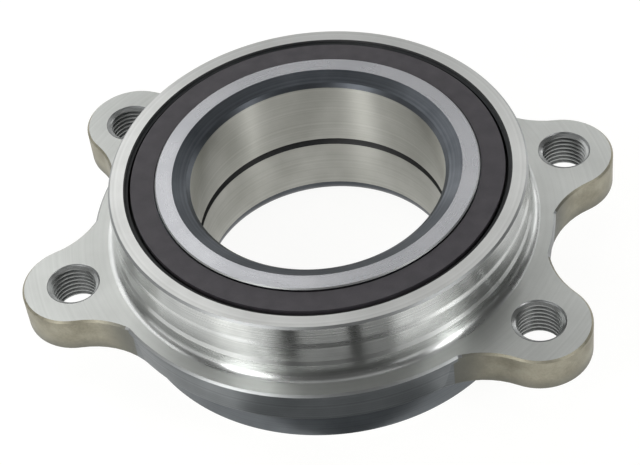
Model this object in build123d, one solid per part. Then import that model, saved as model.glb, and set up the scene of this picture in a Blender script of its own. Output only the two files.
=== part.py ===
from build123d import *

import os
from math import atan2, cos, degrees, hypot, radians, sqrt

# Wheel hub bearing: a flanged outer ring with four tapped ears, two inner rings on one bore,
# two rows of balls in snap cages, and a cassette seal at each end. Millimetres, +Z along the
# bore towards the encoder, X along the long side of the bolt rectangle, and z = 0 at the
# outboard face of the inner rings, on which the bearing stands.

# Balls and raceways
ball_diameter = 11.906
balls_per_row = 17
row_gap = 2.7
contact_angle = 38.0
groove_ratio = 0.52
race_clearance = 0.08

# Inner rings
bore_radius = 30.5
inner_wall = 3.33
inner_shoulder = 4.86
inner_lip = 0.57
seam_chamfer = 1.0
cv_chamfer_radial = 4.1
cv_chamfer_axial = 2.4
cv_chamfer_break = 0.9
hub_corner_radius = 4.4
edge_break = 0.3

# Outer ring around the races
outer_wall = 4.037
outer_shoulder = 4.3
outer_lip = 0.37
seat_step = 0.407
mouth_chamfer = 0.3

# Pilot that enters the knuckle, from the inboard face down to the flange
flange_depth = 16.1
pilot_edge_chamfer = 0.5
first_step_depth = 5.2
second_step_depth = 10.8
step_rise = 0.4
step_run = 1.1
pilot_fillet = 2.0

# Flange disc below the flange face, with a turned rim at its top edge, and the neck under it
flange_thickness = 9.7
rim_overhang = 5.4
rim_edge_chamfer = 0.5
rim_height = 1.4
rim_undercut = 0.5
disc_draft = 0.4
disc_round = 1.0
neck_wall = 3.75
neck_draft = 0.45
neck_root_fillet = 3.0
neck_end_chamfer = 0.3

# Ears and their tapped holes
bolt_spacing_x = 111.3
bolt_spacing_y = 56.0
thread_diameter = 12.0
ear_wall = 6.4
ear_side_fillet = 20.0
ear_fillet_share = 0.95
ear_sink = 0.5
ear_top_chamfer = 0.5
ear_bottom_round = 0.8
hole_chamfer = 0.4

# How far each forged ear's round sits off its drilled hole, anticlockwise from the front left
ear_shifts = ((0.0, 0.0), (0.0, 0.0), (-0.3, -1.1), (0.8, 0.3))

# Cages
pocket_clearance = 0.12
cage_base = 0.8
cage_inner_gap = 0.6
cage_outer_gap = 1.0
cage_base_rib = 0.7
cage_rib_height = 1.6
cage_prong_length = 2.3
cage_prong_taper = 0.7
cage_slot_width = 1.2
cage_slot_depth = 3.0

# Cassette seals
cage_to_seal = 0.52
case_thickness = 0.7
flinger_thickness = 0.6
inboard_chamber = 3.4
outboard_chamber = 1.9
encoder_thickness = 0.8
encoder_recess = 0.2
flinger_recess = 0.5
inboard_face_proud = 0.4
outboard_face_proud = 0.6
encoder_rim_gap = 0.7
encoder_skirt = 0.6
case_window_gap = 2.5
case_rim_drop = 0.8
lip_thickness = 0.5
lip_clearance = 0.08
lip_rise = 1.0
side_lip_root = 0.4
side_lip_lean = 0.8

# Radii worked out from the bore outwards
ball_radius = ball_diameter / 2
groove_radius = groove_ratio * ball_diameter
groove_shift = groove_radius - ball_radius - race_clearance
groove_shift_radial = groove_shift * cos(radians(contact_angle))
groove_shift_axial = sqrt(groove_shift**2 - groove_shift_radial**2)
inner_race_radius = bore_radius + inner_wall
inner_groove_radius = inner_race_radius + groove_radius
pitch_radius = inner_groove_radius - groove_shift_radial
outer_groove_radius = pitch_radius - groove_shift_radial
outer_race_radius = outer_groove_radius + groove_radius
inner_land_radius = inner_race_radius + inner_shoulder
inner_lip_radius = inner_race_radius + inner_lip
outer_land_radius = outer_race_radius - outer_shoulder
outer_lip_radius = outer_race_radius - outer_lip
seat_radius = outer_lip_radius + seat_step
pilot_radius = outer_race_radius + outer_wall
pilot_seat_radius = pilot_radius + 2 * step_rise
rim_radius = pilot_seat_radius + rim_overhang

# Distances from the seam between the inner rings, outwards along the axis
row_offset = ball_radius + row_gap / 2
cage_end = row_offset + ball_radius + pocket_clearance + cage_base
case_floor = cage_end + cage_to_seal
inboard_flinger = case_floor + case_thickness + inboard_chamber
outboard_flinger = case_floor + case_thickness + outboard_chamber
encoder_face = inboard_flinger + flinger_thickness + encoder_thickness
inboard_outer_face = encoder_face + encoder_recess
outboard_outer_face = outboard_flinger + flinger_thickness + flinger_recess
inboard_width = inboard_outer_face + inboard_face_proud
outboard_width = outboard_outer_face + outboard_face_proud

# Heights in the part's own frame
seam_z = outboard_width
inboard_face_z = seam_z + inboard_outer_face
outboard_face_z = seam_z - outboard_outer_face
flange_z = inboard_face_z - flange_depth
flange_back_z = flange_z - flange_thickness

# Radii of the ears, the body and the seals
thread_radius = thread_diameter / 2
ear_radius = thread_radius + ear_wall
body_top_radius = rim_radius - rim_undercut
ear_base_radius = body_top_radius - ear_sink
neck_radius = seat_radius + neck_wall
sleeve_radius = inner_land_radius + flinger_thickness
case_inner_radius = seat_radius - case_thickness
case_window_radius = sleeve_radius + case_window_gap
encoder_radius = case_inner_radius - encoder_rim_gap
flinger_radius = encoder_radius - encoder_skirt

# Ears anticlockwise from the front left: the middle of each ear's round
ear_sides = ((-1, -1), (1, -1), (1, 1), (-1, 1))
ear_centres = [
    (side_x * bolt_spacing_x / 2 + shift_x, side_y * bolt_spacing_y / 2 + shift_y)
    for (side_x, side_y), (shift_x, shift_y) in zip(ear_sides, ear_shifts)
]

INBOARD, OUTBOARD = 1, -1


def turned(outline):
    """Solid of revolution about Z from a closed outline of (radius, height) edges."""
    return revolve(Plane.XZ * make_face(outline.edges()), Axis.Z)


def placed(solid, side):
    """Puts what is drawn outwards from the seam at z = 0 on its own side of the bearing."""
    if side == OUTBOARD:
        solid = mirror(solid, Plane.XY)
    return Pos(0, 0, seam_z) * solid


def race_tool(centre_radius, height):
    return Pos(0, 0, height) * Torus(centre_radius, groove_radius)


def inner_ring(width, bore_corner):
    """Inner ring drawn outwards from the seam: low lip at the seam, high shoulder at the face."""
    groove_height = row_offset - groove_shift_axial
    outline = Polyline(
        bore_corner @ 1,
        (bore_radius, seam_chamfer),
        (bore_radius + seam_chamfer, 0),
        (inner_lip_radius - edge_break, 0),
        (inner_lip_radius, edge_break),
        (inner_lip_radius, groove_height),
        (inner_land_radius, groove_height),
        (inner_land_radius, width - edge_break),
        (inner_land_radius - edge_break, width),
        bore_corner @ 0,
    )
    return turned(outline + bore_corner) - race_tool(inner_groove_radius, groove_height)


def cv_side_corner():
    """Wide lead-in cone at the inboard mouth of the bore, with a short steep cone below it."""
    return Polyline(
        (bore_radius + cv_chamfer_radial, inboard_width),
        (bore_radius + cv_chamfer_break, inboard_width - cv_chamfer_axial + cv_chamfer_break),
        (bore_radius, inboard_width - cv_chamfer_axial),
    )


def hub_side_corner():
    """Large round at the outboard mouth of the bore, which clears the root of the hub's flange."""
    centre = (bore_radius + hub_corner_radius, outboard_width - hub_corner_radius)
    return CenterArc(centre, hub_corner_radius, 90, 90)


def pilot_outline():
    """Axis to flange over the inboard face: three bands, each a little larger, and a root fillet."""
    first = inboard_face_z - first_step_depth
    second = inboard_face_z - second_step_depth
    bands = Polyline(
        (0, inboard_face_z),
        (pilot_radius - pilot_edge_chamfer, inboard_face_z),
        (pilot_radius, inboard_face_z - pilot_edge_chamfer),
        (pilot_radius, first),
        (pilot_radius + step_rise, first - step_run),
        (pilot_radius + step_rise, second),
        (pilot_seat_radius, second - step_run),
        (pilot_seat_radius, flange_z + pilot_fillet),
    )
    root_centre = (pilot_seat_radius + pilot_fillet, flange_z + pilot_fillet)
    return bands + CenterArc(root_centre, pilot_fillet, 180, 90)


def body_outline():
    """Flange to axis under the flange face: machined rim, disc, root fillet, neck and end face."""
    disc_radius = body_top_radius - disc_draft
    disc_centre = (disc_radius - disc_round, flange_back_z + disc_round)
    disc_corner = CenterArc(disc_centre, disc_round, 0, -90)
    root_radius = neck_radius + neck_draft
    root_centre = (root_radius + neck_root_fillet, flange_back_z - neck_root_fillet)
    root = CenterArc(root_centre, neck_root_fillet, 90, 90)
    rim = Polyline(
        (pilot_seat_radius + pilot_fillet, flange_z),
        (rim_radius - rim_edge_chamfer, flange_z),
        (rim_radius, flange_z - rim_edge_chamfer),
        (rim_radius, flange_z - rim_height),
        (body_top_radius, flange_z - rim_height - rim_undercut),
        disc_corner @ 0,
    )
    back = Line(disc_corner @ 1, root @ 0)
    neck = Polyline(
        root @ 1,
        (neck_radius, outboard_face_z + neck_end_chamfer),
        (neck_radius - neck_end_chamfer, outboard_face_z),
        (0, outboard_face_z),
        (0, inboard_face_z),
    )
    return rim + disc_corner + back + root + neck


def bore_tool():
    """What is bored out of the outer ring: both seal seats, the race lips and the central land."""
    groove_distance = row_offset + groove_shift_axial
    return turned(
        Polyline(
            (0, outboard_face_z),
            (seat_radius + mouth_chamfer, outboard_face_z),
            (seat_radius, outboard_face_z + mouth_chamfer),
            (seat_radius, seam_z - case_floor),
            (outer_lip_radius, seam_z - case_floor),
            (outer_lip_radius, seam_z - groove_distance),
            (outer_land_radius, seam_z - groove_distance),
            (outer_land_radius, seam_z + groove_distance),
            (outer_lip_radius, seam_z + groove_distance),
            (outer_lip_radius, seam_z + case_floor),
            (seat_radius, seam_z + case_floor),
            (seat_radius, inboard_face_z - mouth_chamfer),
            (seat_radius + mouth_chamfer, inboard_face_z),
            (0, inboard_face_z),
            close=True,
        )
    )


def widest_ear_fillet(half_x, half_y):
    """Radius at which the fillets of the two ears on a short side would meet on the X axis."""
    reach = ear_base_radius - half_x
    return (half_y**2 + reach**2 - ear_radius**2) / (2 * (ear_radius - reach))


def ear_arm(x, y):
    """Plan of one ear and the web behind it, whose two sides are hollowed by wide fillets."""
    distance = hypot(x, y)
    side_fillet = min(ear_side_fillet, ear_fillet_share * widest_ear_fillet(abs(x), abs(y)))
    from_axis = ear_base_radius + side_fillet
    from_ear = ear_radius + side_fillet
    along = (from_axis**2 - from_ear**2 + distance**2) / (2 * distance)
    across = sqrt(from_axis**2 - along**2)
    corners = ((0, 0), (along, across), (distance, 0), (along, -across))
    web = make_face(Polyline(*corners, close=True))
    for side in (across, -across):
        web -= Pos(along, side) * Circle(side_fillet)
    arm = web + Pos(distance, 0) * Circle(ear_radius)
    return Rot(0, 0, degrees(atan2(y, x))) * arm


def ears():
    """Ear plate, as thick as the disc, with a machined top edge and a forged round below."""
    plan = Circle(ear_base_radius)
    for x, y in ear_centres:
        plan += ear_arm(x, y)
    plate = extrude(Pos(0, 0, flange_back_z) * plan, flange_thickness)
    plate = fillet(plate.faces().sort_by(Axis.Z)[0].edges(), ear_bottom_round)
    return chamfer(plate.faces().sort_by(Axis.Z)[-1].edges(), ear_top_chamfer)


def tapped_hole():
    """One through hole at its major thread radius, with a chamfered mouth at each end."""
    return turned(
        Polyline(
            (0, flange_back_z),
            (thread_radius + hole_chamfer, flange_back_z),
            (thread_radius, flange_back_z + hole_chamfer),
            (thread_radius, flange_z - hole_chamfer),
            (thread_radius + hole_chamfer, flange_z),
            (0, flange_z),
            close=True,
        )
    )


def outer_ring():
    ring = turned(pilot_outline() + body_outline()) + ears()
    ring -= bore_tool()
    for side in (INBOARD, OUTBOARD):
        groove_height = seam_z + side * (row_offset + groove_shift_axial)
        ring -= race_tool(outer_groove_radius, groove_height)
    for spot in GridLocations(bolt_spacing_x, bolt_spacing_y, 2, 2):
        ring -= spot * tapped_hole()
    return ring


def row_angles(side):
    """Ball angles of one row; the outboard row sits half a ball spacing further round."""
    spacing = 360 / balls_per_row
    start = 0 if side == INBOARD else spacing / 2
    return [start + spacing * number for number in range(balls_per_row)]


def ball(angle, side):
    return Rot(0, 0, angle) * Pos(pitch_radius, 0, seam_z + side * row_offset) * Sphere(ball_radius)


def cage(side):
    """Snap cage: a ribbed base ring outside the balls, and prongs that close round each of them."""
    base_radius = outer_lip_radius - cage_outer_gap
    prong_radius = base_radius - cage_base_rib
    inside_radius = inner_land_radius + cage_inner_gap
    prong_end = row_offset - cage_prong_length
    blank = turned(
        Polyline(
            (inside_radius, cage_end),
            (base_radius, cage_end),
            (base_radius, cage_end - cage_rib_height),
            (prong_radius, cage_end - cage_rib_height - cage_base_rib),
            (prong_radius, prong_end),
            (inside_radius - cage_prong_taper, prong_end),
            (inside_radius, row_offset + ball_radius),
            close=True,
        )
    )
    pocket = Pos(pitch_radius, 0, row_offset) * Sphere(ball_radius + pocket_clearance)
    slot = Pos(pitch_radius, 0, prong_end) * Box(ball_diameter, cage_slot_width, 2 * cage_slot_depth)
    for angle in row_angles(side):
        blank -= Rot(0, 0, angle) * pocket
        blank -= Rot(0, 0, angle + 180 / balls_per_row) * slot
    return blank


def flinger(flange_start):
    """Pressed steel flinger on the inner ring's land: a sleeve, and a flange that covers the lips."""
    flange_end = flange_start + flinger_thickness
    return turned(
        Polyline(
            (inner_land_radius, case_floor + case_thickness),
            (sleeve_radius, case_floor + case_thickness),
            (sleeve_radius, flange_start),
            (flinger_radius, flange_start),
            (flinger_radius, flange_end),
            (inner_land_radius + edge_break, flange_end),
            (inner_land_radius, flange_end - edge_break),
            close=True,
        )
    )


def encoder():
    """Magnetised ring bonded over the inboard flinger's flange and round its rim."""
    flange_end = inboard_flinger + flinger_thickness
    return turned(
        Polyline(
            (inner_land_radius + edge_break, flange_end),
            (flinger_radius, flange_end),
            (flinger_radius, inboard_flinger),
            (encoder_radius, inboard_flinger),
            (encoder_radius, encoder_face),
            (inner_land_radius + edge_break, encoder_face),
            close=True,
        )
    )


def seal_case(outer_face):
    """Pressed steel case in the outer ring's seat, against the step at the end of the seat."""
    rim = outer_face - case_rim_drop
    return turned(
        Polyline(
            (case_window_radius, case_floor),
            (seat_radius, case_floor),
            (seat_radius, rim),
            (case_inner_radius, rim),
            (case_inner_radius, case_floor + case_thickness),
            (case_window_radius, case_floor + case_thickness),
            close=True,
        )
    )


def seal_lips(flange_start):
    """Rubber bonded to the case: a side lip to the flange, a main lip and a grease lip."""
    floor = case_floor + case_thickness
    web = floor + lip_thickness
    side_root = case_window_radius + side_lip_root
    side_tip = side_root + side_lip_lean
    running_radius = sleeve_radius + lip_clearance
    return turned(
        Polyline(
            (case_inner_radius, floor),
            (case_inner_radius, web),
            (side_root + lip_thickness, web),
            (side_tip + lip_thickness, flange_start - lip_clearance),
            (side_tip, flange_start - lip_clearance),
            (side_root, web),
            (case_window_radius, web),
            (running_radius, web + lip_rise),
            (running_radius, web + lip_rise - lip_thickness),
            (case_window_radius - 2 * lip_thickness, floor),
            (running_radius, case_floor + lip_thickness),
            (running_radius, case_floor),
            (case_window_radius, case_floor),
            (case_window_radius, floor),
            close=True,
        )
    )


def all_pieces():
    """Every piece of the bearing by name, each on its own side of the seam."""
    pieces = {
        "outer_ring": outer_ring(),
        "inner_ring_inboard": placed(inner_ring(inboard_width, cv_side_corner()), INBOARD),
        "inner_ring_outboard": placed(inner_ring(outboard_width, hub_side_corner()), OUTBOARD),
        "encoder_ring": placed(encoder(), INBOARD),
    }
    sides = (
        ("inboard", INBOARD, inboard_flinger, inboard_outer_face),
        ("outboard", OUTBOARD, outboard_flinger, outboard_outer_face),
    )
    for name, side, flange_start, outer_face in sides:
        pieces[f"flinger_{name}"] = placed(flinger(flange_start), side)
        pieces[f"seal_case_{name}"] = placed(seal_case(outer_face), side)
        pieces[f"seal_lips_{name}"] = placed(seal_lips(flange_start), side)
        pieces[f"cage_{name}"] = placed(cage(side), side)
        for number, angle in enumerate(row_angles(side), start=1):
            pieces[f"ball_{name}_{number:02d}"] = ball(angle, side)
    return pieces


os.makedirs("parts", exist_ok=True)
for piece_name, piece in all_pieces().items():
    export_step(piece, f"parts/{piece_name}.step")
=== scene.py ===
from math import atan2, cos, degrees, hypot, pi, radians, sin, sqrt

import bmesh
import bpy
from mathutils import Matrix, Vector


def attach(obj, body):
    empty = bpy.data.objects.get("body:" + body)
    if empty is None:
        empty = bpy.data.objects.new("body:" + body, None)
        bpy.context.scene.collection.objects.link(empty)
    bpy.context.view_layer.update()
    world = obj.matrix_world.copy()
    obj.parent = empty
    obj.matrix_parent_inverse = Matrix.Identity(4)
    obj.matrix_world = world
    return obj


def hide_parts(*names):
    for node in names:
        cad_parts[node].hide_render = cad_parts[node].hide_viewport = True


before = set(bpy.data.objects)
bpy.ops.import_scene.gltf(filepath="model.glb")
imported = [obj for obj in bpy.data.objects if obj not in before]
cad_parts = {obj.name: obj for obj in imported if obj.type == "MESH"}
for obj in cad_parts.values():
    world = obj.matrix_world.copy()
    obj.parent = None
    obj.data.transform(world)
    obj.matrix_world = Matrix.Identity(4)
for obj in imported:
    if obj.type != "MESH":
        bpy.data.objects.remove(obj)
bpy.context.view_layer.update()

# Wheel hub bearing. Sizes are millimetres until a piece is finished, with the bore along Z,
# and are the sizes of the solids.
MILLIMETRE = 0.001

# Heights and radii of the rings
seam_z = 18.996
inboard_face_z = 39.392
outboard_face_z = 0.6
flange_z = 23.292
flange_back_z = 13.592
pilot_radii = (50.0, 50.4, 50.8)
band_radius = 55.7
rim_radius = 56.2
rim_drop = 1.9
neck_radius = 50.2
bore_radius = 30.5
groove_radius = 6.1911
row_offset = 7.303
groove_shift = 0.0973
inner_groove_radius = 40.0211
outer_groove_radius = 39.7719
inner_lip_radius = 34.40
inner_land_radius = 38.69
outer_lip_radius = 45.593
outer_land_radius = 41.663
seat_radius = 46.0
edge_break = 0.3

# Heights of the inner rings and seal parts, from the seam
inboard_end = 20.796
outboard_end = 18.996
encoder_face = 20.196
case_floor = 14.696
case_sheet = 0.7

# Ears, anticlockwise from the front left: the holes, and the middles of the ears' rounds
hole_spots = ((-55.65, -28.0), (55.65, -28.0), (55.65, 28.0), (-55.65, 28.0))
ear_spots = ((-55.65, -28.0), (55.65, -28.0), (55.35, 26.9), (-54.85, 28.3))
ear_radius = 12.4
ear_side_fillet = 20.0
ear_base_radius = 55.2
thread_radius = 6.0
thread_crest_radius = 5.32
thread_pitch = 1.25
thread_start = -1.468
hole_chamfer = 0.4

# How near a face's middle is to a plane that it lies in
NEAR = 0.01


# Drawing and turning

def draw(bm, start, *moves):
    """Draws edges in the XZ plane from start. A move is a corner, or an arc's centre and degrees."""
    head = bm.verts.new((start[0], 0, start[1]))
    for move in moves:
        if len(move) == 2:
            corner = bm.verts.new((move[0], 0, move[1]))
            bm.edges.new((head, corner))
            head = corner
        else:
            head = arc(bm, head, (move[0], 0, move[1]), (0, -1, 0), move[2])
    return head


def arc(bm, head, centre, axis, sweep):
    """Carries a vertex round a centre and leaves the arc's edges behind it."""
    steps = max(4, round(abs(sweep) / 6))
    swung = bmesh.ops.spin(bm, geom=[head], cent=centre, axis=axis, angle=radians(sweep), steps=steps)
    return next(part for part in swung["geom_last"] if isinstance(part, bmesh.types.BMVert))


def lathe(bm, segments):
    """Turns the drawn outline once round the bore's axis."""
    bmesh.ops.remove_doubles(bm, verts=bm.verts, dist=0.002)
    outline = bm.verts[:] + bm.edges[:]
    bmesh.ops.spin(
        bm, geom=outline, cent=(0, 0, 0), axis=(0, 0, 1), angle=2 * pi, steps=segments, use_merge=True
    )
    bmesh.ops.remove_doubles(bm, verts=bm.verts, dist=0.002)
    bmesh.ops.recalc_face_normals(bm, faces=bm.faces)


def finish_piece(name, bm, materials, choose=None, crease=12):
    """Makes the object from its mesh in millimetres, smooth but for edges sharper than the crease."""
    for face in bm.faces:
        face.smooth = True
        if choose:
            face.material_index = materials.index(choose(face.calc_center_median(), face.normal))
    for edge in bm.edges:
        edge.smooth = edge.calc_face_angle(0) < radians(crease)
    bmesh.ops.scale(bm, vec=(MILLIMETRE,) * 3, verts=bm.verts)
    mesh = bpy.data.meshes.new(name)
    bm.to_mesh(mesh)
    bm.free()
    for material in materials:
        mesh.materials.append(material)
    piece = bpy.data.objects.new(name, mesh)
    bpy.context.scene.collection.objects.link(piece)
    return piece


def turned(name, materials, start, *moves, segments=288, side=1, choose=None):
    """A turned piece from its outline. Heights are from the seam, outwards on the given side."""
    bm = bmesh.new()
    draw(bm, start, *moves, start)
    lathe(bm, segments)
    if side < 0:
        bmesh.ops.scale(bm, vec=(1, 1, -1), verts=bm.verts)
        bmesh.ops.recalc_face_normals(bm, faces=bm.faces)
    bmesh.ops.translate(bm, vec=(0, 0, seam_z), verts=bm.verts)
    return finish_piece(name, bm, materials, choose)


def groove(centre, height, first, last):
    """Where a raceway groove starts and ends between two radii, and the arc between them."""
    def meet(radius, sign):
        return radius, height + sign * sqrt(groove_radius**2 - (radius - centre) ** 2)
    start, end = meet(first, -1), meet(last, 1)
    begin = degrees(atan2(start[1] - height, start[0] - centre))
    finish = degrees(atan2(end[1] - height, end[0] - centre))
    return start, (centre, height, (finish - begin + 180) % 360 - 180)


# The outer ring

def outer_ring_body():
    """Outline of the turned body: pilot, flange disc, neck, seal seats and both raceways."""
    bm = bmesh.new()
    low_row = seam_z - row_offset - groove_shift
    high_row = seam_z + row_offset + groove_shift
    low_start, low_arc = groove(outer_groove_radius, low_row, outer_lip_radius, outer_land_radius)
    high_start, high_arc = groove(outer_groove_radius, high_row, outer_land_radius, outer_lip_radius)
    first, second, third = pilot_radii
    draw(
        bm,
        (first - 0.5, inboard_face_z),
        (first, inboard_face_z - 0.5),
        (first, inboard_face_z - 5.2),
        (second, inboard_face_z - 6.3),
        (second, inboard_face_z - 10.8),
        (third, inboard_face_z - 11.9),
        (third, flange_z + 2.0),
        (third + 2.0, flange_z + 2.0, 90),
        (band_radius, flange_z),
        (rim_radius, flange_z - 0.5),
        (rim_radius, flange_z - rim_drop + 0.5),
        (band_radius, flange_z - rim_drop),
        (band_radius - 0.4, flange_back_z + 1.0),
        (band_radius - 1.4, flange_back_z + 1.0, -90),
        (neck_radius + 3.0, flange_back_z),
        (neck_radius + 3.0, flange_back_z - 3.0, 90),
        (neck_radius - 0.45, outboard_face_z + edge_break),
        (neck_radius - 0.75, outboard_face_z),
        (seat_radius + edge_break, outboard_face_z),
        (seat_radius, outboard_face_z + edge_break),
        (seat_radius, seam_z - case_floor),
        (outer_lip_radius, seam_z - case_floor),
        low_start,
        low_arc,
        high_start,
        high_arc,
        (outer_lip_radius, seam_z + case_floor),
        (seat_radius, seam_z + case_floor),
        (seat_radius, inboard_face_z - edge_break),
        (seat_radius + edge_break, inboard_face_z),
        (first - 0.5, inboard_face_z),
    )
    lathe(bm, 360)
    return bm


def turn_between(centre, start, end):
    """Signed degrees from one point to another about a centre, the short way round."""
    first = atan2(start[1] - centre[1], start[0] - centre[0])
    last = atan2(end[1] - centre[1], end[0] - centre[0])
    return degrees((last - first + pi) % (2 * pi) - pi)


def ear_plate():
    """The four ears on their base circle: fillet, ear, fillet, and the circle on to the next ear."""
    fillets = []
    for x, y in ear_spots:
        distance = hypot(x, y)
        from_axis = ear_base_radius + ear_side_fillet
        from_ear = ear_radius + ear_side_fillet
        along = (from_axis**2 - from_ear**2 + distance**2) / (2 * distance)
        across = sqrt(from_axis**2 - along**2)
        out = Vector((x, y)).normalized()
        fillets.append([out * along + Vector((out.y, -out.x)) * across * side for side in (1, -1)])
    bm = bmesh.new()
    first = fillets[0][0] * ear_base_radius / fillets[0][0].length
    head = bm.verts.new((first.x, first.y, flange_back_z))
    for number, (x, y) in enumerate(ear_spots):
        before, after = fillets[number]
        following = fillets[(number + 1) % 4][0]
        path = (
            (before, (0, 0), (x, y)),
            ((x, y), before, after),
            (after, (x, y), (0, 0)),
            ((0, 0), after, following),
        )
        for centre, start, end in path:
            sweep = turn_between(centre, start, end)
            head = arc(bm, head, (centre[0], centre[1], flange_back_z), (0, 0, 1), sweep)
    bmesh.ops.remove_doubles(bm, verts=bm.verts, dist=0.002)
    plan = bmesh.ops.contextual_create(bm, geom=bm.edges[:])["faces"]
    raised = bmesh.ops.extrude_face_region(bm, geom=plan)["geom"]
    risen = [part for part in raised if isinstance(part, bmesh.types.BMVert)]
    bmesh.ops.translate(bm, vec=(0, 0, flange_z - flange_back_z), verts=risen)
    for height, size, segments in ((flange_back_z, 0.8, 4), (flange_z, 0.5, 1)):
        rim = [edge for edge in bm.edges if all(abs(v.co.z - height) < 0.001 for v in edge.verts)]
        bmesh.ops.bevel(
            bm, geom=rim, offset=size, segments=segments, affect="EDGES", profile=0.5, material=-1
        )
    bmesh.ops.recalc_face_normals(bm, faces=bm.faces)
    return bm


def ear_core():
    """What the turned body takes out of the plate, so that its faced band and the ears' tops meet."""
    bm = bmesh.new()
    draw(
        bm,
        (0, flange_back_z - 2),
        (band_radius - 1.1, flange_back_z - 2),
        (band_radius - 1.1, flange_z - 0.6),
        (band_radius, flange_z - 0.3),
        (band_radius, flange_z + 2),
        (0, flange_z + 2),
    )
    lathe(bm, 360)
    return bm


def hole_cutter(x, y):
    """What the drill and the countersink take out of one ear."""
    bm = bmesh.new()
    mouth = thread_radius + hole_chamfer
    draw(
        bm,
        (0, flange_back_z - 2),
        (thread_radius, flange_back_z - 2),
        (thread_radius, flange_z - hole_chamfer),
        (mouth + 2, flange_z + 2),
        (0, flange_z + 2),
    )
    lathe(bm, 72)
    bmesh.ops.translate(bm, vec=(x, y, 0), verts=bm.verts)
    return bm


def thread_ridge(x, y):
    """The turns of one tapped hole, flat at the flange's back and cut back by the countersink at its face."""
    turns = 11
    steps = 36
    crest = thread_crest_radius - thread_radius
    sunk = 0.02
    bm = bmesh.new()
    draw(bm, (sunk, -0.55), (crest, -0.15), (crest, 0.15), (sunk, 0.55), (sunk, -0.55))
    bmesh.ops.remove_doubles(bm, verts=bm.verts, dist=0.002)
    bmesh.ops.translate(bm, vec=(thread_radius, 0, flange_back_z + thread_start), verts=bm.verts)
    section = bm.verts[:] + bm.edges[:]
    bmesh.ops.spin(
        bm, geom=section, cent=(0, 0, 0), axis=(0, 0, 1), angle=2 * pi * turns,
        steps=steps * turns, dvec=(0, 0, thread_pitch / steps),
    )
    for height, side in ((flange_back_z + 0.05, -1), (flange_z - 0.05, 1)):
        everything = bm.verts[:] + bm.edges[:] + bm.faces[:]
        bmesh.ops.bisect_plane(
            bm, geom=everything, plane_co=(0, 0, height), plane_no=(0, 0, side), clear_outer=True
        )
    bmesh.ops.recalc_face_normals(bm, faces=bm.faces)
    for vert in bm.verts:
        depth = flange_z - vert.co.z
        least = thread_radius + hole_chamfer - 2 * depth
        reach = hypot(vert.co.x, vert.co.y)
        if reach < least:
            stretch = min(least, thread_radius + 0.3) / reach
            vert.co.x *= stretch
            vert.co.y *= stretch
    bmesh.ops.translate(bm, vec=(x, y, 0), verts=bm.verts)
    return bm


def gather(body, other):
    """Puts another mesh's shells beside the body's."""
    mesh = bpy.data.meshes.new("gathered")
    other.to_mesh(mesh)
    other.free()
    body.from_mesh(mesh)
    bpy.data.meshes.remove(mesh)


def cut(body, tool):
    """The body without what the tool takes away."""
    solids = []
    for bm in (body, tool):
        mesh = bpy.data.meshes.new("cut")
        bm.to_mesh(mesh)
        bm.free()
        solids.append(bpy.data.objects.new("cut", mesh))
        bpy.context.scene.collection.objects.link(solids[-1])
    step = solids[0].modifiers.new("cut", "BOOLEAN")
    step.operation = "DIFFERENCE"
    step.solver = "EXACT"
    step.object = solids[1]
    graph = bpy.context.evaluated_depsgraph_get()
    left = bpy.data.meshes.new_from_object(solids[0].evaluated_get(graph))
    result = bmesh.new()
    result.from_mesh(left)
    used = [solid.data for solid in solids] + [left]
    for solid in solids:
        bpy.data.objects.remove(solid)
    for mesh in used:
        bpy.data.meshes.remove(mesh)
    return result


def outer_ring_surface(spot, normal):
    """Which finish a face of the outer ring has, from its middle and its normal."""
    radius = hypot(spot.x, spot.y)
    near_hole = min(hypot(spot.x - x, spot.y - y) for x, y in hole_spots)
    if radius > pilot_radii[2] and normal.z > 0.98 and abs(spot.z - flange_z) < NEAR:
        return faced_steel
    if radius > neck_radius + 3.8 and normal.z < -0.98 and abs(spot.z - flange_back_z) < NEAR:
        return forged_steel
    if near_hole < thread_radius + 0.05:
        return tapped_steel
    if near_hole < thread_radius + hole_chamfer + 0.02:
        return edge_steel
    if radius < seat_radius + 0.05 and outboard_face_z + 0.4 < spot.z < inboard_face_z - 0.4:
        return honed_steel
    # Painted shade: the seat's mouth chamfers at both faces are black, as the seam is.
    if radius < seat_radius + 0.25:
        return seam_oil_and_shade
    if pilot_radii[0] - 0.5 < radius < pilot_radii[0] and spot.z > inboard_face_z - 0.49:
        return edge_steel
    if band_radius + NEAR < radius < rim_radius and spot.z > flange_z - 0.5:
        return edge_steel
    if radius < pilot_radii[0] - 0.5 and spot.z > inboard_face_z - NEAR:
        return ring_face_steel
    if spot.z > flange_z - NEAR or spot.z < outboard_face_z + NEAR:
        return turned_steel
    # The neck under the flange takes the darker oxide: painted shade under the flange.
    if radius < neck_radius + 3.1 and spot.z < flange_back_z + NEAR:
        return shaded_neck_steel
    if radius < band_radius + 0.02 or radius < rim_radius + NEAR and spot.z > flange_z - rim_drop - 0.05:
        return treated_steel
    return forged_steel


# Materials

def linear(colour):
    """Linear colour of an sRGB hex value."""
    channels = [int(colour[k:k + 2], 16) / 255 for k in (1, 3, 5)]
    return tuple(c / 12.92 if c <= 0.04045 else ((c + 0.055) / 1.055) ** 2.4 for c in channels) + (1.0,)


def add(tree, kind, settings, inputs):
    """Adds a node with its settings, and its inputs as values or as sockets to link."""
    node = tree.nodes.new(kind)
    for name, value in settings.items():
        setattr(node, name, value)
    for name, value in inputs.items():
        if isinstance(value, bpy.types.NodeSocket):
            tree.links.new(value, node.inputs[name])
        else:
            node.inputs[name].default_value = value
    return node


def new_material(name):
    """An empty material, its tree, and its object coordinates."""
    material = bpy.data.materials.new(name)
    material.use_nodes = True
    tree = material.node_tree
    tree.nodes.clear()
    coordinates = add(tree, "ShaderNodeTexCoord", {}, {}).outputs["Object"]
    return material, tree, coordinates


def close(tree, shader):
    """Joins a shader to the material's output."""
    add(tree, "ShaderNodeOutputMaterial", {}, {"Surface": shader.outputs["BSDF"]})


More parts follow.
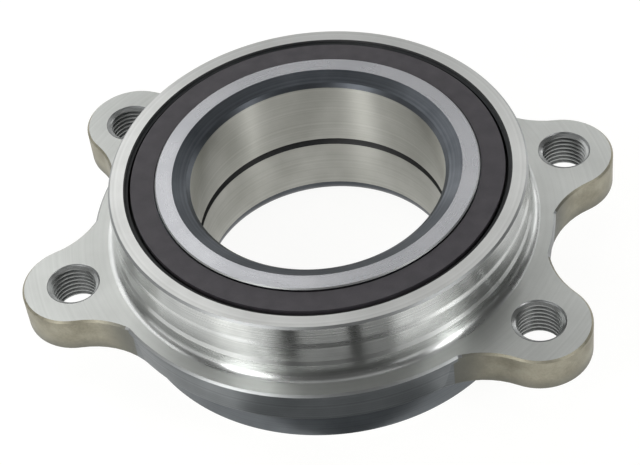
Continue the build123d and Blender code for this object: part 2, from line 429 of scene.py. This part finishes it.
def machined(name, light, dark, rough, feed, depth, anisotropic, metallic=1.0):
    """Cut or ground metal: tool marks run round the bore's axis, feed millimetres apart.

    They follow the radius on a face and the height on a wall, so that both show them.
    """
    material, tree, coordinates = new_material(name)
    flat = add(tree, "ShaderNodeVectorMath", {"operation": "MULTIPLY"}, {0: coordinates, 1: (1, 1, 0)})
    radius = add(tree, "ShaderNodeVectorMath", {"operation": "LENGTH"}, {0: flat.outputs[0]})
    height = add(tree, "ShaderNodeSeparateXYZ", {}, {0: coordinates})
    along = add(
        tree, "ShaderNodeMath", {"operation": "MULTIPLY_ADD"},
        {0: height.outputs["Z"], 1: 1.37, 2: radius.outputs["Value"]},
    )
    marks = add(
        tree, "ShaderNodeTexNoise", {"noise_dimensions": "1D"},
        {"W": along.outputs[0], "Scale": 1 / (feed * MILLIMETRE), "Detail": 2.0, "Roughness": 0.6},
    )
    cloud = add(
        tree, "ShaderNodeTexNoise", {},
        {"Vector": coordinates, "Scale": 1 / (14 * MILLIMETRE), "Detail": 4.0, "Roughness": 0.55},
    )
    blend = add(
        tree, "ShaderNodeMath", {"operation": "MULTIPLY_ADD"},
        {0: marks.outputs[0], 1: 0.55, 2: cloud.outputs[0]},
    )
    tint = add(
        tree, "ShaderNodeMapRange", {},
        {"Value": blend.outputs[0], "From Min": 0.5, "From Max": 1.05},
    )
    colour = add(
        tree, "ShaderNodeMix", {"data_type": "RGBA"},
        {0: tint.outputs[0], 6: linear(dark), 7: linear(light)},
    )
    sheen = add(
        tree, "ShaderNodeMapRange", {},
        {"Value": blend.outputs[0], "From Min": 0.5, "From Max": 1.05, "To Min": rough[1], "To Max": rough[0]},
    )
    bump = add(
        tree, "ShaderNodeBump", {},
        {"Height": marks.outputs[0], "Strength": 0.5, "Distance": depth * MILLIMETRE},
    )
    round_axis = add(
        tree, "ShaderNodeVectorMath", {"operation": "CROSS_PRODUCT"}, {0: (0, 0, 1), 1: coordinates}
    )
    shader = add(
        tree, "ShaderNodeBsdfPrincipled", {},
        {
            "Base Color": colour.outputs[2],
            "Metallic": metallic,
            "Roughness": sheen.outputs[0],
            "Anisotropic": anisotropic,
            "Anisotropic Rotation": 0.25,
            "Tangent": round_axis.outputs[0],
            "Normal": bump.outputs[0],
        },
    )
    close(tree, shader)
    return material


def forged_skin_and_shade(name, light, dark, shade_colour, rough, grain, depth, metallic):
    """Skin of the ears: blasted grain, with painted shade darkening it down towards the flange's back and where
    the ears run into the neck.
    """
    material, tree, coordinates = new_material(name)
    skin = add(
        tree, "ShaderNodeTexNoise", {},
        {"Vector": coordinates, "Scale": 1 / (grain * MILLIMETRE), "Detail": 5.0, "Roughness": 0.65},
    )
    patches = add(
        tree, "ShaderNodeTexNoise", {},
        {"Vector": coordinates, "Scale": 1 / (grain * 9 * MILLIMETRE), "Detail": 3.0, "Roughness": 0.5},
    )
    blend = add(
        tree, "ShaderNodeMath", {"operation": "MULTIPLY_ADD"},
        {0: skin.outputs[0], 1: 0.7, 2: patches.outputs[0]},
    )
    tint = add(
        tree, "ShaderNodeMapRange", {},
        {"Value": blend.outputs[0], "From Min": 0.6, "From Max": 1.1},
    )
    bare = add(
        tree, "ShaderNodeMix", {"data_type": "RGBA"},
        {0: tint.outputs[0], 6: linear(dark), 7: linear(light)},
    )
    flat = add(tree, "ShaderNodeVectorMath", {"operation": "MULTIPLY"}, {0: coordinates, 1: (1, 1, 0)})
    radius = add(tree, "ShaderNodeVectorMath", {"operation": "LENGTH"}, {0: flat.outputs[0]})
    height = add(tree, "ShaderNodeSeparateXYZ", {}, {0: coordinates})
    # Painted shade: the skin darkens towards the shade colour near the neck and near the flange's back.
    neck_shade = add(
        tree, "ShaderNodeMapRange", {"interpolation_type": "SMOOTHSTEP"},
        {
            "Value": radius.outputs["Value"],
            "From Min": 55 * MILLIMETRE,
            "From Max": 62 * MILLIMETRE,
            "To Min": 0.85,
            "To Max": 0.0,
        },
    )
    back_shade = add(
        tree, "ShaderNodeMapRange", {"interpolation_type": "SMOOTHSTEP"},
        {
            "Value": height.outputs["Z"],
            "From Min": flange_back_z * MILLIMETRE,
            "From Max": (flange_back_z + 4.5) * MILLIMETRE,
            "To Min": 0.6,
            "To Max": 0.0,
        },
    )
    shade = add(
        tree, "ShaderNodeMath", {"operation": "MAXIMUM"}, {0: neck_shade.outputs[0], 1: back_shade.outputs[0]}
    )
    colour = add(
        tree, "ShaderNodeMix", {"data_type": "RGBA"}, {0: shade.outputs[0], 6: bare.outputs[2], 7: linear(shade_colour)}
    )
    sheen = add(
        tree, "ShaderNodeMapRange", {},
        {"Value": skin.outputs[0], "From Min": 0.3, "From Max": 0.7, "To Min": rough[0], "To Max": rough[1]},
    )
    bump = add(
        tree, "ShaderNodeBump", {},
        {"Height": skin.outputs[0], "Strength": 0.6, "Distance": depth * MILLIMETRE},
    )
    shader = add(
        tree, "ShaderNodeBsdfPrincipled", {},
        {
            "Base Color": colour.outputs[2],
            "Metallic": metallic,
            "Roughness": sheen.outputs[0],
            "Normal": bump.outputs[0],
        },
    )
    close(tree, shader)
    return material


def skinned(name, light, dark, rough, grain, depth, metallic, specular=0.5):
    """Moulded, pressed or painted surface: an even grain in millimetres, with slow patches of colour."""
    material, tree, coordinates = new_material(name)
    skin = add(
        tree, "ShaderNodeTexNoise", {},
        {"Vector": coordinates, "Scale": 1 / (grain * MILLIMETRE), "Detail": 5.0, "Roughness": 0.65},
    )
    patches = add(
        tree, "ShaderNodeTexNoise", {},
        {"Vector": coordinates, "Scale": 1 / (grain * 11 * MILLIMETRE), "Detail": 3.0, "Roughness": 0.5},
    )
    blend = add(
        tree, "ShaderNodeMath", {"operation": "MULTIPLY_ADD"},
        {0: skin.outputs[0], 1: 0.8, 2: patches.outputs[0]},
    )
    tint = add(
        tree, "ShaderNodeMapRange", {},
        {"Value": blend.outputs[0], "From Min": 0.65, "From Max": 1.15},
    )
    colour = add(
        tree, "ShaderNodeMix", {"data_type": "RGBA"},
        {0: tint.outputs[0], 6: linear(dark), 7: linear(light)},
    )
    sheen = add(
        tree, "ShaderNodeMapRange", {},
        {"Value": skin.outputs[0], "From Min": 0.3, "From Max": 0.7, "To Min": rough[0], "To Max": rough[1]},
    )
    bump = add(
        tree, "ShaderNodeBump", {},
        {"Height": skin.outputs[0], "Strength": 0.6, "Distance": depth * MILLIMETRE},
    )
    shader = add(
        tree, "ShaderNodeBsdfPrincipled", {},
        {
            "Base Color": colour.outputs[2],
            "Metallic": metallic,
            "Roughness": sheen.outputs[0],
            "Specular IOR Level": specular,
            "Normal": bump.outputs[0],
        },
    )
    close(tree, shader)
    return material


# Tool marks and grinding lines are really 0.05 to 0.1 mm apart, too fine to show in the render, so
# all of them are drawn 0.5 to 0.9 mm apart.

# Finish-turned steel: bright silver, with rings of tool marks that draw highlights out across them.
turned_steel = machined("turned_steel", "#d6d8d6", "#b0b2b1", (0.25, 0.31), 0.6, 0.0012, 0.9)
# Broken edges, tumbled after cutting: the same steel, rougher, and darker as painted shade, so that no edge
# glares.
edge_steel = machined("edge_steel", "#a4a6a6", "#939595", (0.42, 0.5), 0.6, 0.002, 0.3)
# Face of the outer ring, finished with the flange but finer: pale silver.
ring_face_steel = machined("ring_face_steel", "#cfd0ce", "#bdbebc", (0.3, 0.38), 0.8, 0.001, 0.4)
# Flange face cut with a coarser feed: a matt, faintly green grey.
faced_steel = machined("faced_steel", "#c5c7c4", "#b8bab7", (0.4, 0.45), 0.8, 0.0015, 0.4)
# Rim's wall left dark after heat treatment: a thin slate grey oxide, nearly matt.
treated_steel = machined("treated_steel", "#75797b", "#5a5e60", (0.34, 0.44), 0.9, 0.004, 0.3, 0.6)
# Neck under the flange: the same slate oxide, bluer, and darker as painted shade under the flange.
shaded_neck_steel = machined("shaded_neck_steel", "#656a6e", "#4c5155", (0.36, 0.46), 0.9, 0.004, 0.3, 0.6)
# Ears left from the forge and shot-blasted: olive brown skin with a fine pitted grain, darkened as painted
# shade near the neck and near the flange's back.
forged_steel = forged_skin_and_shade("forged_steel", "#a6a291", "#827e6e", "#5d5f5b", (0.42, 0.6), 0.6, 0.06, 0.7)
# Tapped thread: dark cutting oil in the roots, bare steel on the crests.
tapped_steel = machined("tapped_steel", "#b4b6b5", "#8b8d8c", (0.3, 0.4), 0.5, 0.002, 0.2)
# Ground and honed raceways, lands and seats: close to a mirror.
honed_steel = machined("honed_steel", "#d9dbdc", "#c9cbcd", (0.08, 0.14), 0.8, 0.001, 0.2)
# Ground ring face: fine even silver with the wheel's rings just visible.
ground_steel = machined("ground_steel", "#bebfc2", "#aeafb3", (0.25, 0.29), 0.9, 0.0002, 0.3)
# Turned chamfer that the grinding wheel doesn't reach: the hardening's blue-grey skin.
hardened_skin = machined("hardened_skin", "#585c61", "#3c4045", (0.3, 0.42), 0.7, 0.003, 0.3, 0.8)
# Groove where the two inner rings meet: preservative oil and shade make it a black line.
seam_oil_and_shade = machined("seam_oil_and_shade", "#16181a", "#0d0e0f", (0.45, 0.6), 0.8, 0.002, 0.0, 0.0)
# Ground bore: satin, a little warm.
bore_steel = machined("bore_steel", "#bdbdb7", "#a9a9a2", (0.36, 0.44), 0.9, 0.0006, 0.94)
# Pressed steel of the seal parts: cold-rolled sheet, smooth and grey.
pressed_steel = skinned("pressed_steel", "#a3a6a8", "#8d9092", (0.26, 0.36), 1.2, 0.004, 1.0)
# Nitrile rubber: moulded, black and dull.
nitrile_rubber = skinned("nitrile_rubber", "#1f2224", "#151718", (0.5, 0.65), 0.6, 0.01, 0.0, 0.4)
# Magnet-filled rubber: pressed flat, brown-black with a purple cast, and dead matt.
magnet_rubber = skinned("magnet_rubber", "#444145", "#363338", (0.5, 0.62), 0.35, 0.006, 0.0, 0.45)
# Glass-filled nylon: moulded, warm black-brown with a soft sheen.
cage_nylon = skinned("cage_nylon", "#3b3833", "#2c2a27", (0.38, 0.5), 0.5, 0.012, 0.0, 0.5)
# Lapped balls: mirror bright.
lapped_steel = skinned("lapped_steel", "#dcdee0", "#d0d2d4", (0.04, 0.07), 2.0, 0.0005, 1.0)


# Pieces

ears = cut(ear_plate(), ear_core())
for spot in hole_spots:
    ears = cut(ears, hole_cutter(*spot))
ring = outer_ring_body()
gather(ring, ears)
for spot in hole_spots:
    gather(ring, thread_ridge(*spot))
outer_ring = finish_piece(
    "outer_ring_forging",
    ring,
    (
        turned_steel, faced_steel, forged_steel, honed_steel, tapped_steel, treated_steel, seam_oil_and_shade,
        edge_steel, ring_face_steel, shaded_neck_steel,
    ),
    outer_ring_surface,
)



def inner_surface(spot, normal):
    """Finish of an inner ring: ground ends, skin on the wide chamfer, satin bore, honed track."""
    radius = hypot(spot.x, spot.y)
    height = spot.z - seam_z
    if abs(height) < 0.99 and radius < 31.6:
        return seam_oil_and_shade
    if radius > inner_land_radius - edge_break + NEAR and abs(height) > outboard_end - edge_break:
        return edge_steel
    if radius < bore_radius + NEAR:
        return bore_steel
    if radius < 34.8 and (height > inboard_end - 2.5 or height < 4.4 - seam_z):
        return hardened_skin
    if abs(normal.z) > 0.99:
        return ground_steel
    return honed_steel


def case_surface(spot, normal):
    """A seal case is moulded over with rubber on its wall, and bare on its floor."""
    on_wall = hypot(spot.x, spot.y) > seat_radius - case_sheet - 0.05
    return nitrile_rubber if on_wall or abs(spot.z - seam_z) > case_floor + 0.304 else pressed_steel


def seal_case(name, rim_height, side):
    """A pressed case: its floor, and its wall that stands in the outer ring's seat."""
    inside = 41.79
    wall = seat_radius - case_sheet
    return turned(
        name, (pressed_steel, nitrile_rubber),
        (inside, case_floor), (seat_radius, case_floor), (seat_radius, rim_height), (wall, rim_height),
        (wall, case_floor + case_sheet), (inside, case_floor + case_sheet),
        side=side, choose=case_surface,
    )


inner_start, inner_arc = groove(
    inner_groove_radius, row_offset - groove_shift, inner_lip_radius, inner_land_radius
)
inner_finishes = (ground_steel, hardened_skin, bore_steel, honed_steel, seam_oil_and_shade, edge_steel)
inner_track = ((31.5, 0), (34.1, 0), (inner_lip_radius, edge_break), inner_start, inner_arc)
inboard_inner = turned(
    "inner_ring_inboard_ground", inner_finishes,
    (bore_radius, 1.0), *inner_track,
    (inner_land_radius, inboard_end - edge_break), (inner_land_radius - edge_break, inboard_end),
    (34.6, inboard_end), (31.4, inboard_end - 1.5), (bore_radius, inboard_end - 2.4),
    choose=inner_surface,
)
outboard_inner = turned(
    "inner_ring_outboard_ground", inner_finishes,
    (bore_radius, 1.0), *inner_track,
    (inner_land_radius, outboard_end - edge_break), (inner_land_radius - edge_break, outboard_end),
    (34.9, outboard_end), (34.9, outboard_end - 4.4, 90),
    side=-1, choose=inner_surface,
)
encoder = turned(
    "encoder_ring_moulded", (magnet_rubber,),
    (38.99, encoder_face - 0.8), (44.0, encoder_face - 0.8), (44.0, encoder_face - 1.4),
    (44.6, encoder_face - 1.4), (44.6, encoder_face), (38.99, encoder_face),
)
outboard_flinger = turned(
    "flinger_outboard_pressed", (pressed_steel,),
    (inner_land_radius, 15.396), (39.29, 15.396), (39.29, 17.296), (44.0, 17.296), (44.0, 17.896),
    (inner_land_radius, 17.896),
    side=-1,
)
inboard_case = seal_case("seal_case_inboard_pressed", 19.596, 1)
outboard_case = seal_case("seal_case_outboard_pressed", 17.596, -1)

placed = (
    (outer_ring, "outer_ring", "forged_steel", "outer_ring"),
    (inboard_inner, "inner_rings", "ground_steel", "inner_ring_inboard"),
    (outboard_inner, "inner_rings", "ground_steel", "inner_ring_outboard"),
    (encoder, "inner_rings", "magnet_rubber", "encoder_ring"),
    (outboard_flinger, "inner_rings", "pressed_steel", "flinger_outboard"),
    (inboard_case, "outer_ring", "pressed_steel", "seal_case_inboard"),
    (outboard_case, "outer_ring", "pressed_steel", "seal_case_outboard"),
)
for piece, body, slot, node in placed:
    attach(piece, body)
    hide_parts(node)

# The solids that stay as they are, by the start of their names
kept = {
    "ball": lapped_steel,
    "cage": cage_nylon,
    "seal_lips": nitrile_rubber,
    "flinger_inboard": pressed_steel,
}
for node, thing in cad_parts.items():
    for start, material in kept.items():
        if node.startswith(start):
            thing.data.materials.clear()
            thing.data.materials.append(material)


# Camera

# Fitted to the bolt holes and the rings' circles. It looks at the middle of the inboard face.
turn = radians(16.24)
lift = radians(46.16)
roll = radians(-7.71)
distance = 465.58
off_centre = (0.83, -15.16)
across = Vector((cos(turn), sin(turn), 0))
away = Vector((-sin(turn), cos(turn), 0))
ahead = away * cos(lift) - Vector((0, 0, sin(lift)))
upward = across.cross(ahead)
side_axis = across * cos(roll) + upward * sin(roll)
top_axis = upward * cos(roll) - across * sin(roll)
place = side_axis * off_centre[0] + top_axis * off_centre[1] - ahead * distance
place += Vector((0, 0, inboard_face_z))
lens = bpy.data.cameras.new("camera")
lens.lens = 110.47
lens.sensor_width = 36
lens.clip_start = 0.01
camera = bpy.data.objects.new("camera", lens)
camera.matrix_world = Matrix.Translation(place * MILLIMETRE) @ Matrix(
    (side_axis, top_axis, -ahead)
).transposed().to_4x4()
bpy.context.scene.collection.objects.link(camera)
bpy.context.scene.camera = camera


# Floor, ceiling, cards and lamps. Their places are in millimetres from the bearing's axis and floor:
# to the camera's right, away from the camera, and up.

def studio_point(right, back, up):
    """A place in the studio, in the bearing's frame."""
    return across * right + away * back + Vector((0, 0, up))


def stage_sheet(name, corners, material):
    """A flat sheet of the studio from its corners."""
    bm = bmesh.new()
    bmesh.ops.contextual_create(bm, geom=[bm.verts.new(studio_point(*corner)) for corner in corners])
    sheet = finish_piece(name, bm, (material,))
    return sheet


def soft_box(name, spot, aim, width, tall, radiance):
    """An area lamp from one place to another, as bright as a white wall of the given strength."""
    data = bpy.data.lights.new(name, "AREA")
    data.shape = "RECTANGLE"
    data.size = width * MILLIMETRE
    data.size_y = tall * MILLIMETRE
    data.energy = radiance * pi * data.size * data.size_y
    box = bpy.data.objects.new(name, data)
    back = (studio_point(*spot) - studio_point(*aim)).to_track_quat("Z", "Y").to_matrix().to_4x4()
    box.matrix_world = Matrix.Translation(studio_point(*spot) * MILLIMETRE) @ back
    bpy.context.scene.collection.objects.link(box)


# White paper floor. What the camera, gloss and glass see is mostly plain white, and the rest keeps
# the bearing's shadow.
floor_paper, paper_tree, paper_coordinates = new_material("floor_paper")
fibre = add(
    paper_tree, "ShaderNodeTexNoise", {},
    {"Vector": paper_coordinates, "Scale": 1 / (30 * MILLIMETRE), "Detail": 2.0},
)
paper_colour = add(
    paper_tree, "ShaderNodeMix", {"data_type": "RGBA"},
    {0: fibre.outputs[0], 6: linear("#f7f7f6"), 7: linear("#f4f4f3")},
)
matt = add(paper_tree, "ShaderNodeBsdfDiffuse", {}, {"Color": paper_colour.outputs[2]})
white = add(paper_tree, "ShaderNodeEmission", {}, {"Color": paper_colour.outputs[2], "Strength": 1.16})
path = add(paper_tree, "ShaderNodeLightPath", {}, {})
mirrored = add(
    paper_tree, "ShaderNodeMath", {"operation": "MAXIMUM"},
    {0: path.outputs["Is Glossy Ray"], 1: path.outputs["Is Transmission Ray"]},
)
seen = add(
    paper_tree, "ShaderNodeMath", {"operation": "MAXIMUM"},
    {0: path.outputs["Is Camera Ray"], 1: mirrored.outputs[0]},
)
share = add(paper_tree, "ShaderNodeMath", {"operation": "MULTIPLY"}, {0: seen.outputs[0], 1: 0.88})
paper_mix = add(
    paper_tree, "ShaderNodeMixShader", {}, {0: share.outputs[0], 1: matt.outputs[0], 2: white.outputs[0]}
)
add(paper_tree, "ShaderNodeOutputMaterial", {}, {"Surface": paper_mix.outputs[0]})


def square(half, height):
    """Corners of a level square round the bearing's axis."""
    return (-half, -half, height), (half, -half, height), (half, half, height), (-half, half, height)


stage_sheet("floor", square(5000, -0.2), floor_paper)

# Grey ceiling of the studio: keeps the metal's upper reflections off pure white.
ceiling_paint = skinned("ceiling_paint", "#7e7e7e", "#787878", (0.8, 0.9), 60.0, 0.0, 0.0, 0.2)
ceiling = stage_sheet("ceiling", square(2600, 1100), ceiling_paint)
ceiling.visible_camera = False

# Cards that only reflections see: painted reflections. The pilot mirrors the floor in front of it, so dark
# cards there make its dark middle and the two dark bars of its top band. One glowing card makes its left light.
card_paint = skinned("card_paint", "#5a5a5a", "#525252", (0.8, 0.9), 8.0, 0.0, 0.0, 0.1)
grey_paint = skinned("grey_paint", "#8e8e8e", "#868686", (0.8, 0.9), 80.0, 0.0, 0.0, 0.1)
dark_paint = skinned("dark_paint", "#202020", "#1a1a1a", (0.8, 0.9), 80.0, 0.0, 0.0, 0.1)
# This card glows though it is no lamp: a painted highlight that only reflections see.
glowing_card_paint, bright_tree, _ = new_material("glowing_card_paint")
bright = add(bright_tree, "ShaderNodeEmission", {}, {"Color": linear("#fdfdfa"), "Strength": 1.7})
add(bright_tree, "ShaderNodeOutputMaterial", {}, {"Surface": bright.outputs[0]})
cards = (
    ("left_glow_card", ((-49, -50, 0.3), (-90, -67, 0.3), (-70, -92, 0.3), (-37, -61, 0.3)), glowing_card_paint),
    ("floor_card", ((-34, -50, 0.2), (28, -50, 0.2), (28, -84, 0.2), (-34, -84, 0.2)), dark_paint),
    ("left_strip", ((-35, -84, 0.2), (-25, -84, 0.2), (-27, -110, 0.2), (-40, -110, 0.2)), dark_paint),
    ("right_strip", ((5, -84, 0.2), (13, -84, 0.2), (15, -110, 0.2), (6, -110, 0.2)), dark_paint),
    ("far_floor_card", ((-110, -112, 0.2), (85, -112, 0.2), (200, -480, 0.2), (-260, -480, 0.2)), card_paint),
    ("front_card", ((-260, -480, 0), (200, -480, 0), (200, -480, 130), (-260, -480, 130)), dark_paint),
    ("high_front_card", ((-260, -480, 130), (200, -480, 130), (200, -480, 225), (-260, -480, 225)), grey_paint),
    ("right_card", ((640, -330, 0), (640, 130, 0), (640, 130, 420), (640, -330, 420)), card_paint),
    ("left_card", ((-640, 40, 0), (-560, 380, 0), (-560, 380, 200), (-640, 40, 200)), dark_paint),
)
for name, corners, paint in cards:
    card = stage_sheet(name, corners, paint)
    card.visible_camera = False
    card.visible_diffuse = False
    card.visible_shadow = False

# Soft boxes: the back ones light the top faces, the overhead one lights them for views from above,
# and the narrow ones left and right draw the pilot's upright lights.
boxes = (
    ("back_left_box", (-350, 420, 420), 600, 640, 1.45),
    ("back_middle_box", (22, 440, 450), 145, 420, 0.5),
    ("back_right_box", (240, 430, 470), 240, 380, 1.25),
    ("right_back_box", (520, 330, 160), 220, 200, 1.5),
    ("overhead_box", (0, 0, 1050), 620, 620, 0.55),
    ("left_box", (-446, -431, 380), 190, 460, 8),
    ("right_box", (482, -390, 340), 100, 460, 8),
)
for name, spot, width, tall, radiance in boxes:
    soft_box(name, spot, (0, 0, 20), width, tall, radiance)

world = bpy.data.worlds.new("studio")
world.use_nodes = True
bpy.context.scene.world = world
sky = world.node_tree
sky.nodes.clear()
backdrop = add(sky, "ShaderNodeBackground", {}, {"Color": linear("#ffffff"), "Strength": 1.0})
add(sky, "ShaderNodeOutputWorld", {}, {"Surface": backdrop.outputs[0]})

view = bpy.context.scene.view_settings
view.view_transform = "Standard"
